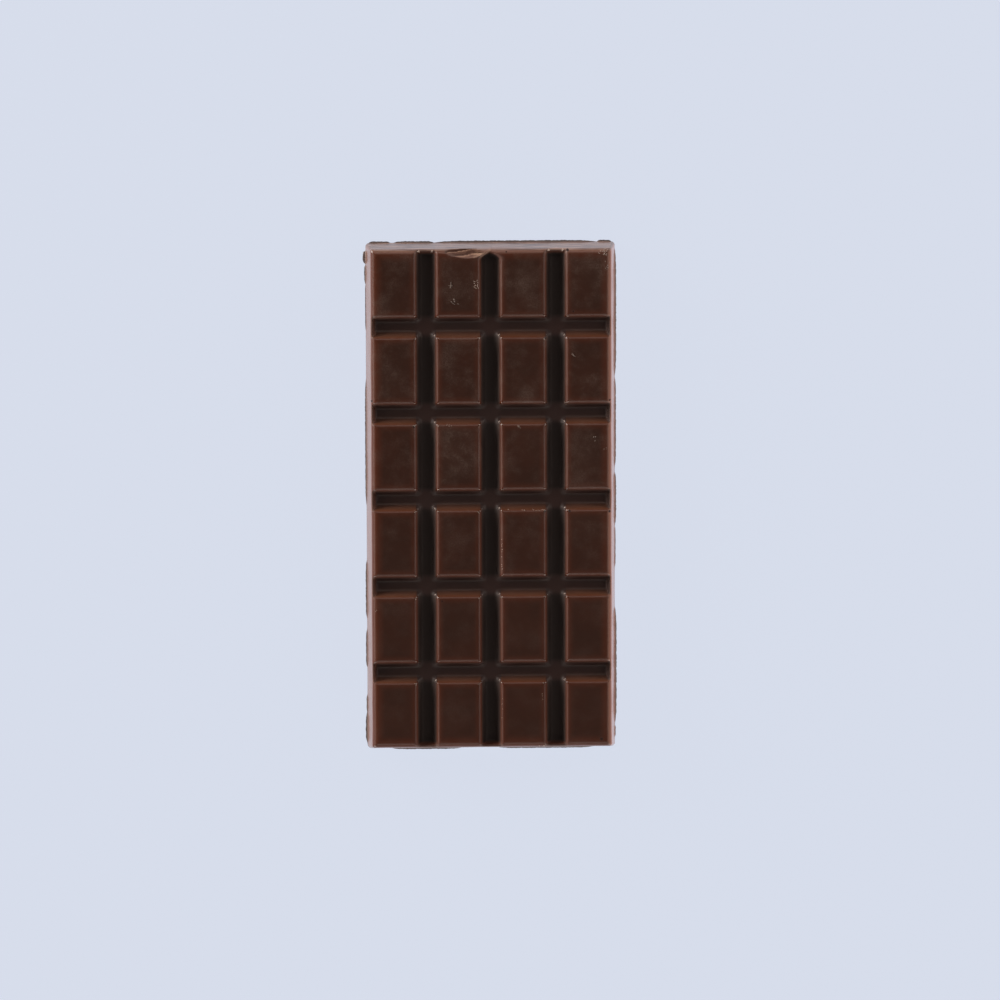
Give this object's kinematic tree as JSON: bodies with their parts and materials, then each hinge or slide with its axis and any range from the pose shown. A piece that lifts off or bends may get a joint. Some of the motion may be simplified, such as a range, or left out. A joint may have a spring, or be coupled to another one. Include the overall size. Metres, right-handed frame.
{
  "type": "chocolate bar",
  "caption": "Moulded milk chocolate bar: raised rectangular blocks in rows and columns, parted by sloping grooves, on a slab with leaning walls and a flat back.",
  "frame": {"origin": "middle of the flat poured back, on the surface that the bar lies on", "axes": "+Z out of the face that carries the blocks, +Y along the bar towards its chipped end, +X to the right seen from above"},
  "size_m": [0.0773, 0.1565, 0.0082],
  "materials": {
    "chocolate": "satin"
  },
  "bodies": {
    "root": {"bar": "chocolate"}
  },
  "joints": []
}
